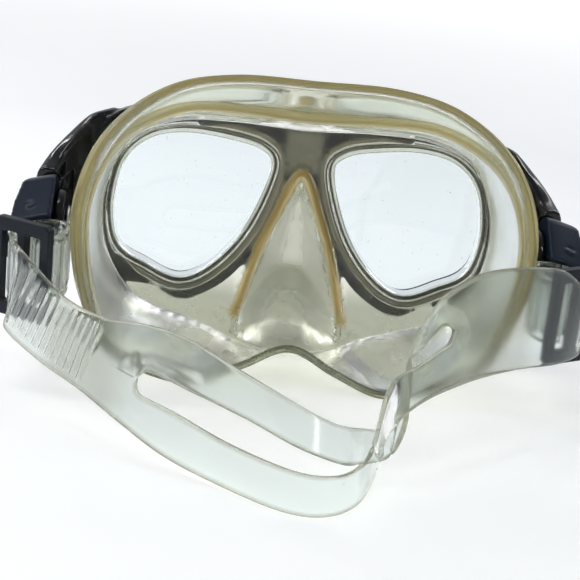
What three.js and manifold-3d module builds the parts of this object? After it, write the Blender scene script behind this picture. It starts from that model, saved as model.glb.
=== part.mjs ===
// Diving mask: twin-lens frame, silicone skirt, swivel buckles with strap rollers and catches,
// strap slides and a split silicone head strap. Millimetres. +X is the wearer's right, +Y is
// forward through the lenses, +Z is up. The origin is the middle of the flat pad on the front
// of the nose bridge. The mask is posed standing on its skirt, with the strap resting behind it.
import * as THREE from 'three';
import { mergeVertices } from 'three/addons/utils/BufferGeometryUtils.js';
import Module from 'manifold-3d';

const wasm = await Module();
wasm.setup();

// ---------- driving dimensions ----------
const GAP = 0.35;                  // clearance kept between pieces that touch
const FLOOR_Z = -76;               // what the standing mask rests on
const STRAP_LOW = FLOOR_Z + 0.45;  // lower edge line of the strap where it rests

// lens outline of the right eye as (x, z), the edge of the glass that shows
const EYE = [[11.8, -2.5], [15.5, 4], [27, 6.8], [42, 8], [56, 5], [66, -4], [70, -18],
  [68, -34], [55, -40.8], [41, -45.2], [29, -38], [18.5, -23]];
const EYE_STEPS = 36;
const GLASS = { front: -1.4, back: -5.2, lap: 4.2 };
const COLLAR = { wall: 2, front: -5.6 };
const WEB = { front: -8.4, back: -11 };

// frame: outer outline of one eye rim as (x, z), and the levels of its plate
const RIM_OUT = [[3.6, -6], [5.5, 6], [13, 14.5], [28, 17.5], [45, 18], [60, 15.5], [72, 9],
  [78, -6], [78.5, -26], [74, -42], [62, -50], [51, -51.5], [41, -56], [31, -52.5],
  [20.5, -43.5], [10.8, -27]];
const FRAME = { front: -1.2, back: -8, seat: -5.35 };
const BRIDGE = { half: 9, top: 13, bottom: -7, pad: 4.6, padTop: 6, padBottom: -5 };
const BEZEL = { front: 1.8, back: -0.85, inner: 1.2, outer: 6.6 };

// side arm stations on the right: outer top edge (x, y, z), bottom z and thickness
const ARM = [
  { top: [74, -1.6, 12], bottom: -22, thick: 5.5 },
  { top: [79, -4, 9], bottom: -25, thick: 6 },
  { top: [85, -8.8, 4.5], bottom: -28.5, thick: 7 },
  { top: [90.5, -15, -1.5], bottom: -32, thick: 7.8 },
  { top: [93.6, -22, -6], bottom: -34, thick: 8.4 },
];
// section of an arm as (share of thickness from the middle, share of height): a flute runs along it
const ARM_SECTION = [[-0.5, 0.04], [-0.3, 0], [0.3, 0], [0.5, 0.08], [0.5, 0.6], [0.22, 0.68],
  [0.22, 0.8], [0.5, 0.86], [0.36, 0.97], [0.1, 1], [-0.36, 1], [-0.5, 0.94]];

// skirt: half rows from the top middle to the bottom middle.
// front: wall at the frame (x, z). rim: outer edge of the face seal (x, y, z).
// flap: length of the sealing lip. turn: how far the lip turns forward, in degrees.
const SKIRT_ROWS = [
  { front: [0, 15.4], rim: [0, -41, 36.6], flap: 12, turn: 8 },
  { front: [24, 16.4], rim: [26, -42, 36.6], flap: 12, turn: 10 },
  { front: [46, 15], rim: [46, -48, 33], flap: 12, turn: 18 },
  { front: [62, 8], rim: [62, -57, 23], flap: 11.5, turn: 30 },
  { front: [70, -5], rim: [71.5, -62.5, 9], flap: 11, turn: 42 },
  { front: [73, -20], rim: [75.8, -65, -9], flap: 10.5, turn: 48 },
  { front: [71, -36], rim: [75.2, -62.5, -28], flap: 10, turn: 46 },
  { front: [64, -49], rim: [72.5, -57.5, -44], flap: 8.5, turn: 38 },
  { front: [54, -57.5], rim: [67, -51.5, -59], flap: 6.5, turn: 26 },
  { front: [40, -62.5], rim: [53, -45, -70.5], flap: 5, turn: 15 },
  { front: [27, -67], rim: [34, -40, FLOOR_Z], flap: 4, turn: 8 },
  { front: [14, -72], rim: [16, -38.5, -69.5], flap: 3, turn: 5 },
  { front: [0, -74], rim: [0, -38, -62], flap: 3, turn: 5 },
];
const SKIRT = { wall: 2.4, lip: 2, steps: 48 };
// nose pocket levels: height z, half width and how far it stands forward of the web
const NOSE = [[-7, 2.6, 2.5], [-18, 7, 8], [-32, 12.2, 15], [-46, 17.6, 23], [-58, 20.8, 29],
  [-67, 20.2, 28], [-73, 17, 23], [FLOOR_Z, 11, 15]];
const NOSE_WALL = 2.4;
const NOSE_FLOOR = [1.3, 1.9];     // how far the hollow's two lowest levels are raised, in walls
const NOSE_BACK = 3;               // how far the hollow reaches back of the web
const NOSE_SIDES = 20;

// swivel buckle on the right: pivot (y, z), discs and the cage that holds the strap roller
const PIVOT = { y: -33, z: -20, disc: 14, ear: 9.5, pin: 2.1, hole: 2.5 };
const EAR = { in: 81.2, out: 84.6 };
const BODY = { in: 85, outFront: 93.6, outRear: 99.4, front: -18, rear: -49, top: -15.8, bottom: -45.2 };
const CAGE = { top: -17.6, bottom: -43.4, front: -38.6, wallIn: 97.9, wallEnd: -40.5 };
const ROLLER = { x: 92.5, y: -44, r: 2.3, pin: 1, sides: 24 };
const PAWL = { y: -34.6, x: 94.8, low: -33, high: -25.4, thick: 1.7, pin: 0.8,
  slotFront: -28.4, slotIn: 91.2, windowIn: 94.5 };
const FAR_OUT = 110;      // beyond every surface on the outside of a buckle

// strap
const STRAP_THICK = 1.8;
const SLIDE = { x: 92, y: -61.5, heading: 30, half: 10.9, bar: 3.4, mid: 3.2, thick: 3.4,
  top: -14.6, bottom: -48, rail: 4.6, corner: 1.4 };
// upright stretches as (x, y, top z, bottom z): slide, round the roller, back to the slide
const LADDER_END = [
  [88.8, -60, -19.5, -42], [83, -62.6, -19, -41.5], [79.4, -60, -18, -40.5],
  [78.4, -54.5, -17.2, -39.6], [80.5, -49, -17.4, -39.8], [85.3, -46.4, -18, -40.6],
  [88.6, -44, -18.6, -41.2], [89.8, -41.3, -18.7, -41.4], [92.5, -40.2, -18.8, -41.6],
  [95.2, -41.3, -18.9, -41.8], [96.4, -44, -19, -42], [96.4, -50, -19.4, -42.4],
  [96.4, -55, -19.8, -42.6], [96.2, -59, -20, -42.6], [95.5, -62.3, -20.6, -43.2],
];
// left run, fold and right run: upper edge, lower edge, and between them the end of the slot
// where it starts and stops, or its two edges where it is open
const HEAD_ROWS = [
  [[-93.4, -65.2, -22.5], [-94.4, -65.8, -45]],
  [[-87.8, -67.6, -27], [-95.6, -70, -49.5]],
  [[-76, -76, -35], [-83.5, -79, -56]],
  [[-62, -88, -36.5], [-68.5, -92, -60]],
  [[-51, -97, -34], [-50, -100, -51.3], [-56, -102, -65]],
  [[-37, -106, -34], [-35, -109, -50], [-38, -109, -58], [-41, -111, -71.5]],
  [[-20, -117, -39], [-16, -122, -53], [-21, -121, -61.5], [-24, -121, -75]],
  [[-5, -126, -43.5], [-1, -133, -56], [-3, -135, -62], [-5, -135, STRAP_LOW]],
  [[9, -126, -50], [12, -131, -61], [9, -135, -63], [8, -137, STRAP_LOW]],
  [[20, -112, -57], [18.5, -122, -64.5], [17.5, -124, -65], [18.5, -127, STRAP_LOW]],
  [[31, -99, -61.5], [28.5, -109, -67.5], [22.5, -116, -62], [25, -110, -73]],
  [[35, -94, -55], [33.5, -104, -59.5], [24, -115, -54], [26.5, -108, -65]],
  [[35, -92.5, -40], [33.3, -103, -45], [25.5, -113, -46], [28.5, -108.5, -58]],
  [[36, -92, -32], [33, -102, -37.5], [29, -108, -41], [32, -109.5, -53]],
  [[38.5, -93, -24.5], [37.5, -100, -33], [37, -103, -37], [40, -105, -48.5]],
  [[43, -94.5, -17], [46.2, -97, -28.3], [49, -99, -46]],
  [[53, -88.5, -12], [58, -92, -45]],
  [[67, -80, -11], [71, -83, -44.5]],
  [[83.5, -71.6, -13], [85.5, -74, -45]],
  [[93.4, -65.2, -20.5], [94, -65.8, -44.5]],
];
const STRAP_STEPS_PER_ROW = 3;

// ---------- materials ----------
function material(color, roughness, extra = {}) {
  return new THREE.MeshStandardMaterial({ color, roughness, metalness: 0, ...extra });
}
const BLACK = material('#101114', 0.25);
const NAVY = material('#1b2742', 0.3);
const SLIDE_BLACK = material('#25293a', 0.5);
const CLEAR = { transparent: true, opacity: 0.6 };
const SILICONE = material('#cfc99a', 0.25, CLEAR);
const STRAP_CLEAR = material('#d3dccd', 0.3, CLEAR);
const GLASS_CLEAR = material('#eaf6f6', 0.05, { transparent: true, opacity: 0.25 });
const STEEL = material('#b9bcc0', 0.3, { metalness: 1 });
const NYLON = material('#d8d6cc', 0.5);

// ---------- solids and booleans ----------
function toSolid(geometry) {
  const bare = new THREE.BufferGeometry();
  bare.setAttribute('position', geometry.getAttribute('position').clone());
  if (geometry.index) bare.setIndex(geometry.index.clone());
  const merged = mergeVertices(bare, 1e-4);
  const corners = [...merged.index.array];
  const whole = corners.filter((_, i) => {
    const [a, b, c] = corners.slice(i - (i % 3), i - (i % 3) + 3);
    return a !== b && b !== c && c !== a;
  });
  return new wasm.Manifold(new wasm.Mesh({
    numProp: 3,
    vertProperties: new Float32Array(merged.getAttribute('position').array),
    triVerts: new Uint32Array(whole),
  }));
}

function toGeometry(solid) {
  const { vertProperties, triVerts } = solid.getMesh();
  const geometry = new THREE.BufferGeometry();
  geometry.setAttribute('position', new THREE.BufferAttribute(vertProperties, 3));
  geometry.setIndex(new THREE.BufferAttribute(triVerts, 1));
  return geometry;
}

const union = (...geometries) => toGeometry(geometries.map(toSolid).reduce((a, b) => a.add(b)));

function cut(geometry, ...tools) {
  return toGeometry(tools.map(toSolid).reduce((a, b) => a.subtract(b), toSolid(geometry)));
}

const common = (a, b) => toGeometry(toSolid(a).intersect(toSolid(b)));

function flipped(geometry) {
  const index = geometry.index.array;
  for (let i = 0; i < index.length; i += 3) [index[i], index[i + 1]] = [index[i + 1], index[i]];
  return geometry;
}

// the same piece on the other side of the mask
function mirrored(geometry) {
  const copy = toGeometry(toSolid(geometry));
  return flipped(copy.applyMatrix4(new THREE.Matrix4().makeScale(-1, 1, 1)));
}

function signedVolume(geometry) {
  const p = geometry.getAttribute('position');
  const [a, b, c] = [new THREE.Vector3(), new THREE.Vector3(), new THREE.Vector3()];
  let volume = 0;
  for (let i = 0; i < geometry.index.count; i += 3) {
    a.fromBufferAttribute(p, geometry.index.getX(i));
    b.fromBufferAttribute(p, geometry.index.getX(i + 1));
    c.fromBufferAttribute(p, geometry.index.getX(i + 2));
    volume += a.dot(b.cross(c)) / 6;
  }
  return volume;
}

// skins a row of equal loops. A closed row joins its last loop to its first, an open one is capped
function loft(loops, closed = false) {
  const count = loops[0].length;
  const index = [];
  const spans = closed ? loops.length : loops.length - 1;
  for (let i = 0; i < spans; i++) {
    const a = i * count;
    const b = ((i + 1) % loops.length) * count;
    for (let j = 0; j < count; j++) {
      const k = (j + 1) % count;
      index.push(a + j, b + j, b + k, a + j, b + k, a + k);
    }
  }
  if (!closed) {
    const last = (loops.length - 1) * count;
    for (const [i, j, k] of capTriangles(loops[0])) index.push(i, j, k);
    for (const [i, j, k] of capTriangles(loops.at(-1))) index.push(last + i, last + k, last + j);
  }
  const geometry = new THREE.BufferGeometry().setFromPoints(loops.flat());
  geometry.setIndex(index);
  return signedVolume(geometry) < 0 ? flipped(geometry) : geometry;
}

function capTriangles(loop) {
  const normal = new THREE.Vector3();
  loop.forEach((p, i) => normal.add(new THREE.Vector3().crossVectors(p, loop[(i + 1) % loop.length])));
  const turn = new THREE.Quaternion().setFromUnitVectors(normal.normalize(), new THREE.Vector3(0, 0, 1));
  const flat = loop.map((p) => p.clone().applyQuaternion(turn)).map((p) => new THREE.Vector2(p.x, p.y));
  return THREE.ShapeUtils.triangulateShape(flat, []);
}

// ---------- outlines ----------
const vec2 = ([x, y]) => new THREE.Vector2(x, y);
const vec3 = ([x, y, z]) => new THREE.Vector3(x, y, z);

function smoothLoop(points, steps) {
  const curve = new THREE.CatmullRomCurve3(points.map(([x, z]) => new THREE.Vector3(x, z, 0)), true,
    'catmullrom', 0.5);
  return curve.getSpacedPoints(steps).slice(0, steps).map((p) => new THREE.Vector2(p.x, p.y));
}

// moves a loop outwards by a distance, along the normals at its points
function offsetLoop(loop, distance) {
  const side = THREE.ShapeUtils.isClockWise(loop) ? -1 : 1;
  return loop.map((p, i) => {
    const along = loop[(i + 1) % loop.length].clone().sub(loop.at(i - 1)).normalize();
    return new THREE.Vector2(along.y, -along.x).multiplyScalar(side * distance).add(p);
  });
}

function shapeOf(loop, holes = []) {
  const shape = new THREE.Shape(THREE.ShapeUtils.isClockWise(loop) ? [...loop].reverse() : loop);
  holes.forEach((hole) => shape.holes.push(new THREE.Path(hole)));
  return shape;
}

// plate drawn as (x, z), from its front level back to its rear level
function plate(loop, front, back, holes = []) {
  const geometry = new THREE.ExtrudeGeometry(shapeOf(loop, holes), { depth: front - back, bevelEnabled: false });
  return geometry.rotateX(Math.PI / 2).translate(0, front, 0);
}

// side profile drawn as (y, z), between two levels of x
function profileX(shape, x0, x1) {
  const geometry = new THREE.ExtrudeGeometry(shape, { depth: x1 - x0, bevelEnabled: false, curveSegments: 16 });
  const turn = new THREE.Matrix4().makeBasis(
    new THREE.Vector3(0, 1, 0), new THREE.Vector3(0, 0, 1), new THREE.Vector3(1, 0, 0));
  return geometry.applyMatrix4(turn).translate(x0, 0, 0);
}

// plan outline drawn as (x, y), between two heights
function planZ(points, z0, z1) {
  const shape = new THREE.Shape(points.map(vec2));
  return new THREE.ExtrudeGeometry(shape, { depth: z1 - z0, bevelEnabled: false }).translate(0, 0, z0);
}

function block([x0, x1], [y0, y1], [z0, z1]) {
  return new THREE.BoxGeometry(x1 - x0, y1 - y0, z1 - z0)
    .translate((x0 + x1) / 2, (y0 + y1) / 2, (z0 + z1) / 2);
}

function rodX(radius, x0, x1, y, z, sides = 20) {
  return new THREE.CylinderGeometry(radius, radius, x1 - x0, sides).rotateZ(Math.PI / 2)
    .translate((x0 + x1) / 2, y, z);
}

function rodZ(radius, z0, z1, x, y, sides = 16) {
  return new THREE.CylinderGeometry(radius, radius, z1 - z0, sides).rotateX(Math.PI / 2)
    .translate(x, y, (z0 + z1) / 2);
}

// ---------- frame, lenses and bezels ----------
const eyeLoop = smoothLoop(EYE, EYE_STEPS);
const rimLoop = smoothLoop(RIM_OUT, 44);

const eyeRim = () => plate(rimLoop, FRAME.front, FRAME.back);

// what is cut from the frame at each eye: the seat of the lens and the way through for the collar
function eyeCuts() {
  const seat = plate(offsetLoop(eyeLoop, GLASS.lap + GAP), 5, FRAME.seat);
  const through = plate(offsetLoop(eyeLoop, COLLAR.wall + GAP), 5, FRAME.back - 10);
  return [seat, through];
}

function bridge() {
  const web = block([-BRIDGE.half, BRIDGE.half], [FRAME.back, FRAME.front], [BRIDGE.bottom, BRIDGE.top]);
  const pad = block([-BRIDGE.pad, BRIDGE.pad], [FRAME.front - 1, 0], [BRIDGE.padBottom, BRIDGE.padTop]);
  return [web, pad];
}

function sideArm() {
  const loops = ARM.map((station, i) => {
    const before = ARM[Math.max(i - 1, 0)].top;
    const after = ARM[Math.min(i + 1, ARM.length - 1)].top;
    const out = new THREE.Vector2(before[1] - after[1], after[0] - before[0]).normalize();
    const [x, y, z] = station.top;
    return ARM_SECTION.map(([across, up]) => {
      const inset = (across - 0.5) * station.thick;
      return new THREE.Vector3(x + inset * out.x, y + inset * out.y, THREE.MathUtils.lerp(station.bottom, z, up));
    });
  });
  return loft(loops);
}

function armWithEar() {
  const joined = union(sideArm(), profileX(earShape(), EAR.in, EAR.out));
  const clearance = rodX(PIVOT.disc + 0.6, EAR.out, 110, PIVOT.y, PIVOT.z, 40);
  const hole = rodX(PIVOT.hole, EAR.in - 5, EAR.out + 5, PIVOT.y, PIVOT.z);
  return cut(joined, clearance, hole);
}

// the flat ear on the inner side of the arm, which the buckle swivels against
function earShape() {
  const reach = THREE.MathUtils.degToRad(60);
  const shape = new THREE.Shape();
  shape.moveTo(-12, -7);
  shape.absarc(PIVOT.y, PIVOT.z, PIVOT.ear, reach, Math.PI * 2 - reach, false);
  shape.lineTo(-12, -31);
  return shape;
}

function frameBody() {
  const right = union(eyeRim(), armWithEar());
  const cuts = eyeCuts();
  return cut(union(right, mirrored(right), ...bridge()), ...cuts, ...cuts.map(mirrored));
}

const lens = () => plate(offsetLoop(eyeLoop, GLASS.lap), GLASS.front, GLASS.back);

const bezel = () => plate(offsetLoop(eyeLoop, BEZEL.outer), BEZEL.front, BEZEL.back,
  [offsetLoop(eyeLoop, BEZEL.inner)]);

// ---------- skirt ----------
function skirtCurves() {
  const half = SKIRT_ROWS.map(({ front, rim, flap, turn }) => ({
    front: new THREE.Vector3(front[0], WEB.front, front[1]),
    rim: vec3(rim),
    lip: new THREE.Vector3(flap, turn, 0),
  }));
  const other = half.slice(1, -1).reverse().map(({ front, rim, lip }) => ({
    front: front.clone().setX(-front.x),
    rim: rim.clone().setX(-rim.x),
    lip,
  }));
  const rows = [...half, ...other];
  const through = (key) => new THREE.CatmullRomCurve3(rows.map((row) => row[key]), true, 'catmullrom', 0.5);
  return { front: through('front'), rim: through('rim'), lip: through('lip') };
}

// one section of the wall and its sealing lip, from the frame round the rim and back
function skirtSection(curves, t) {
  const front = curves.front.getPoint(t);
  const rim = curves.rim.getPoint(t);
  const lip = curves.lip.getPoint(t);
  const tangent = curves.rim.getTangent(t);
  const back = rim.clone().sub(front).normalize();
  const inward = new THREE.Vector3().crossVectors(back, tangent).normalize();
  const centre = new THREE.Vector3(0, rim.y, -20);
  if (inward.dot(centre.sub(rim)) < 0) inward.negate();
  const flat = inward.clone().setY(0).normalize();
  const turn = THREE.MathUtils.degToRad(lip.y);
  const along = flat.clone().multiplyScalar(Math.cos(turn)).add(new THREE.Vector3(0, Math.sin(turn), 0));
  const under = new THREE.Vector3(0, Math.cos(turn), 0).addScaledVector(flat, -Math.sin(turn));
  const at = (base, ...moves) => moves.reduce((p, [v, d]) => p.addScaledVector(v, d), base.clone());
  const middle = front.clone().lerp(rim, 0.55);
  return [
    front,
    middle,
    rim,
    at(rim, [along, lip.x]),
    at(rim, [along, lip.x], [under, SKIRT.lip]),
    at(rim, [along, SKIRT.wall + 1], [under, SKIRT.lip + 0.6]),
    at(middle, [inward, SKIRT.wall]),
    at(front, [inward, SKIRT.wall]),
  ];
}

function nosePocket(shrink) {
  return loft(NOSE.map(([z, half, reach], i) => {
    const raised = shrink * (NOSE_FLOOR[i - NOSE.length + NOSE_FLOOR.length] ?? 0);
    const loop = [];
    for (let k = 0; k < NOSE_SIDES; k++) {
      const angle = (k / NOSE_SIDES) * 2 * Math.PI;
      const deep = Math.sin(angle) > 0 ? reach - shrink : NOSE_BACK;
      loop.push(new THREE.Vector3(Math.max(half - shrink, 1) * Math.cos(angle),
        WEB.back + Math.max(deep, 1.5) * Math.sin(angle), z + raised));
    }
    return loop;
  }));
}

function skirt() {
  const curves = skirtCurves();
  const steps = Array.from({ length: SKIRT.steps }, (_, i) => i / SKIRT.steps);
  const wall = loft(steps.map((t) => skirtSection(curves, t)), true);
  const outline = steps.map((t) => curves.front.getPoint(t)).map((p) => new THREE.Vector2(p.x, p.z));
  const mirrorLoop = (loop) => loop.map((p) => new THREE.Vector2(-p.x, p.y)).reverse();
  const eyes = [eyeLoop, mirrorLoop(eyeLoop)];
  const web = plate(outline, WEB.front, WEB.back, eyes);
  const collar = plate(offsetLoop(eyeLoop, COLLAR.wall), COLLAR.front, WEB.back, [eyeLoop]);
  const pocketOuter = common(nosePocket(0), block([-40, 40], [WEB.back, 60], [-90, 10]));
  return cut(union(wall, web, collar, mirrored(collar), pocketOuter), nosePocket(NOSE_WALL));
}

// ---------- swivel buckle, built for the right side ----------
function bodyOutX(y) {
  const share = (BODY.front - y) / (BODY.front - BODY.rear);
  return THREE.MathUtils.lerp(BODY.outFront, BODY.outRear, share);
}

function bodySide() {
  const shape = new THREE.Shape();
  shape.moveTo(BODY.rear, BODY.top);
  shape.lineTo(BODY.rear, BODY.bottom);
  shape.lineTo(BODY.rear + 11, BODY.bottom);
  shape.absarc(PIVOT.y, PIVOT.z, PIVOT.disc, THREE.MathUtils.degToRad(-78), THREE.MathUtils.degToRad(98), false);
  return shape;
}

function buckleBody() {
  const side = profileX(bodySide(), BODY.in, FAR_OUT);
  const plan = planZ([[BODY.in, BODY.front], [BODY.in, BODY.rear], [BODY.outRear, BODY.rear],
    [BODY.outFront, BODY.front]], -60, 0);
  const cage = block([BODY.in - 1, FAR_OUT], [BODY.rear - 5, CAGE.front], [CAGE.bottom, CAGE.top]);
  const outerWall = planZ([[CAGE.wallIn, CAGE.front - 0.5], [CAGE.wallIn, CAGE.wallEnd],
    [bodyOutX(CAGE.wallEnd), CAGE.wallEnd], [bodyOutX(CAGE.front), CAGE.front - 0.5]],
  CAGE.bottom - 0.5, CAGE.top + 0.5);
  const pawlSlot = block([PAWL.slotIn, FAR_OUT], [CAGE.front - 1, PAWL.slotFront], [PAWL.low - GAP, PAWL.high + GAP]);
  const pawlWindow = block([PAWL.windowIn, FAR_OUT], [BODY.rear - 5, CAGE.front + 0.5],
    [PAWL.low - GAP, PAWL.high + GAP]);
  const pinHole = rodX(PIVOT.hole, BODY.in - 5, 92.4, PIVOT.y, PIVOT.z);
  const rollerHole = rodZ(ROLLER.pin + 0.3, BODY.bottom - 5, BODY.top + 5, ROLLER.x, ROLLER.y);
  const pawlHole = rodZ(PAWL.pin + 0.3, PAWL.low - 3, PAWL.high + 3, PAWL.x, PAWL.y);
  const shell = cut(common(side, plan), cage, pinHole);
  return cut(union(shell, outerWall), pawlSlot, pawlWindow, rollerHole, pawlHole);
}

function pivotPin() {
  const profile = [[0, EAR.in - 1.6], [PIVOT.pin + 1.6, EAR.in - 1.6], [PIVOT.pin + 1.6, EAR.in - GAP],
    [PIVOT.pin, EAR.in - GAP], [PIVOT.pin, 91.6], [PIVOT.pin - 0.5, 92], [0, 92]];
  return new THREE.LatheGeometry(profile.map(vec2), 20).rotateZ(-Math.PI / 2).translate(0, PIVOT.y, PIVOT.z);
}

function rollerGeometry() {
  const half = (CAGE.top - CAGE.bottom) / 2 - GAP;
  const waist = half - 1.2;
  const bore = ROLLER.pin + 0.3;
  const profile = [[bore, -half], [ROLLER.r, -half], [ROLLER.r, -waist], [ROLLER.r - 0.3, -waist + 1],
    [ROLLER.r - 0.3, waist - 1], [ROLLER.r, waist], [ROLLER.r, half], [bore, half], [bore, -half]];
  return new THREE.LatheGeometry(profile.map(vec2), ROLLER.sides).rotateX(Math.PI / 2)
    .translate(ROLLER.x, ROLLER.y, (CAGE.top + CAGE.bottom) / 2);
}

const rollerPin = () => rodZ(ROLLER.pin, BODY.bottom + 0.1, BODY.top - 0.1, ROLLER.x, ROLLER.y);

// catch lever: a thumb pad in front of its pin and a tooth that reaches back to the ladder ribs
function pawl() {
  const slope = (BODY.outRear - BODY.outFront) / (BODY.front - BODY.rear);
  const out = (y) => PAWL.x + 2.6 - slope * (y - PAWL.y);
  const lever = planZ([
    [out(-29), -29], [out(-29) - PAWL.thick, -29], [out(-33) - PAWL.thick, -33], [PAWL.x - 1.5, -33.6],
    [PAWL.x - 1.5, -35.8], [out(-37) - PAWL.thick, -36.6], [out(-42) - PAWL.thick + 0.4, -42],
    [97.65, -43.2], [97.65, -44.4], [out(-45), -45.4],
  ], PAWL.low, PAWL.high);
  const bore = rodZ(PAWL.pin + 0.3, PAWL.low - 1, PAWL.high + 1, PAWL.x, PAWL.y);
  const coilRoom = block([PAWL.x - 2.4, PAWL.x + 1.9], [PAWL.y - 2.2, PAWL.y + 2.2],
    [PAWL.low + 2.3, PAWL.high - 2.3]);
  return cut(lever, bore, coilRoom);
}

const pawlPin = () => rodZ(PAWL.pin, PAWL.low - 2.6, PAWL.high + 2.6, PAWL.x, PAWL.y, 12);

// torsion spring: two turns round the pawl pin, one leg under the thumb pad
class TorsionSpring extends THREE.Curve {
  getPoint(t, target = new THREE.Vector3()) {
    const turns = 2;
    const radius = PAWL.pin + 0.65;
    const leg = 0.16;
    const low = PAWL.low + 2.75;
    const rise = PAWL.high - 2.75 - low;
    const share = THREE.MathUtils.clamp((t - leg) / (1 - 2 * leg), 0, 1);
    const angle = share * turns * 2 * Math.PI;
    const x = PAWL.x - radius * Math.cos(angle);
    const y = PAWL.y + radius * Math.sin(angle);
    const reach = 4.2 * (Math.max(leg - t, 0) + Math.max(t - 1 + leg, 0)) / leg;
    const way = t < leg ? -1 : 0.62;
    const out = t < leg ? 0 : 0.3;
    return target.set(x + out * reach, y + way * reach, low + rise * share);
  }
}

function pawlSpring() {
  const section = new THREE.Shape();
  section.absarc(0, 0, 0.22, 0, Math.PI * 2);
  return new THREE.ExtrudeGeometry(section,
    { extrudePath: new TorsionSpring(), steps: 44, bevelEnabled: false, curveSegments: 3 });
}

// ---------- strap and slides ----------
function strapSlide() {
  const { half, bar, mid, thick, top, bottom, rail, corner } = SLIDE;
  const outline = [[-half + corner, bottom], [half - corner, bottom], [half, bottom + corner], [half, top - corner],
    [half - corner, top], [-half + corner, top], [-half, top - corner], [-half, bottom + corner]];
  const slots = [[-half + bar, -mid / 2], [mid / 2, half - bar]];
  const slotBlocks = slots.map((across) => block(across, [-thick, thick], [bottom + rail, top - rail]));
  const flat = cut(plate(outline.map(vec2), thick / 2, -thick / 2), ...slotBlocks);
  return flat.rotateZ(THREE.MathUtils.degToRad(SLIDE.heading)).translate(SLIDE.x, SLIDE.y, 0);
}

function strapRows() {
  const upright = (side) => ([x, y, high, low]) => [[side * x, y, high], [side * x, y, low]];
  const rows = [...LADDER_END.map(upright(-1)), ...HEAD_ROWS, ...LADDER_END.map(upright(1)).reverse()];
  return rows.map((row) => {
    const points = row.map(vec3);
    if (points.length === 4) return points;
    const middle = points.length === 3 ? points[1] : points[0].clone().lerp(points[1], 0.5);
    return [points[0], middle, middle.clone(), points.at(-1)];
  });
}

// one station across the strap: eight corners, four on each face, from the upper to the lower edge
function strapStation(edges, t, open) {
  const line = edges.map((edge) => edge.getPoint(t));
  if (!open) line[2].copy(line[1].lerp(line[2], 0.5));
  const along = edges[0].getTangent(t).add(edges[3].getTangent(t));
  const across = line[0].clone().sub(line[3]);
  const normal = new THREE.Vector3().crossVectors(along, across).setLength(STRAP_THICK / 2);
  const face = line.map((p) => p.clone().add(normal));
  const rear = line.map((p) => p.clone().sub(normal)).reverse();
  return [...face, ...rear];
}

function strap() {
  const rows = strapRows();
  const openRows = rows.map(([, a, b]) => a.distanceTo(b) > 0);
  const edges = [0, 1, 2, 3].map((k) => new THREE.CatmullRomCurve3(rows.map((row) => row[k]), false,
    'catmullrom', 0.5));
  const spans = rows.length - 1;
  const first = openRows.indexOf(true) - 1;
  const last = openRows.lastIndexOf(true) + 1;
  const isOpen = (i) => i > first * STRAP_STEPS_PER_ROW && i < last * STRAP_STEPS_PER_ROW;
  const count = spans * STRAP_STEPS_PER_ROW;
  const stations = Array.from({ length: count + 1 }, (_, i) => strapStation(edges, i / count, isOpen(i)));
  const corners = stations[0].length;
  const slotSides = [1, 5];
  const index = [];
  const quad = (a, b, c, d) => index.push(a, b, c, a, c, d);
  for (let i = 0; i < count; i++) {
    const slotHere = isOpen(i) || isOpen(i + 1);
    for (let j = 0; j < corners; j++) {
      const k = (j + 1) % corners;
      const [a, b] = [i * corners, (i + 1) * corners];
      if (!slotSides.includes(j)) quad(a + j, b + j, b + k, a + k);
    }
    if (slotHere) {
      const [a, b] = [i * corners, (i + 1) * corners];
      quad(a + 1, b + 1, b + 6, a + 6);
      quad(a + 5, b + 5, b + 2, a + 2);
    }
  }
  const end = count * corners;
  for (const j of [0, 2]) {
    quad(j, j + 1, 6 - j, 7 - j);
    quad(end + 7 - j, end + 6 - j, end + j + 1, end + j);
  }
  const geometry = new THREE.BufferGeometry().setFromPoints(stations.flat());
  geometry.setIndex(index);
  return toGeometry(toSolid(signedVolume(geometry) < 0 ? flipped(geometry) : geometry));
}

// ---------- assembly ----------
const group = new THREE.Group();

function add(name, geometry, surface) {
  const mesh = new THREE.Mesh(geometry, surface);
  mesh.name = name;
  group.add(mesh);
}

function addPair(name, geometry, surface) {
  add(`${name}_right`, geometry, surface);
  add(`${name}_left`, mirrored(geometry), surface);
}

add('frame_body', frameBody(), BLACK);
addPair('lens', lens(), GLASS_CLEAR);
addPair('bezel', bezel(), BLACK);
add('skirt', skirt(), SILICONE);
addPair('buckle_body', buckleBody(), NAVY);
addPair('pivot_pin', pivotPin(), STEEL);
addPair('strap_roller', rollerGeometry(), NYLON);
addPair('roller_pin', rollerPin(), STEEL);
addPair('strap_pawl', pawl(), NAVY);
addPair('pawl_pin', pawlPin(), STEEL);
addPair('pawl_spring', pawlSpring(), STEEL);
addPair('strap_slide', strapSlide(), SLIDE_BLACK);
add('strap', strap(), STRAP_CLEAR);

export default group;
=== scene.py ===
"""Looks of the diving mask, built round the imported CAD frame. Sizes are millimetres, scaled by MM."""
import math

import bmesh
import bpy
import numpy as np
from mathutils import Matrix, Vector, geometry


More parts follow.
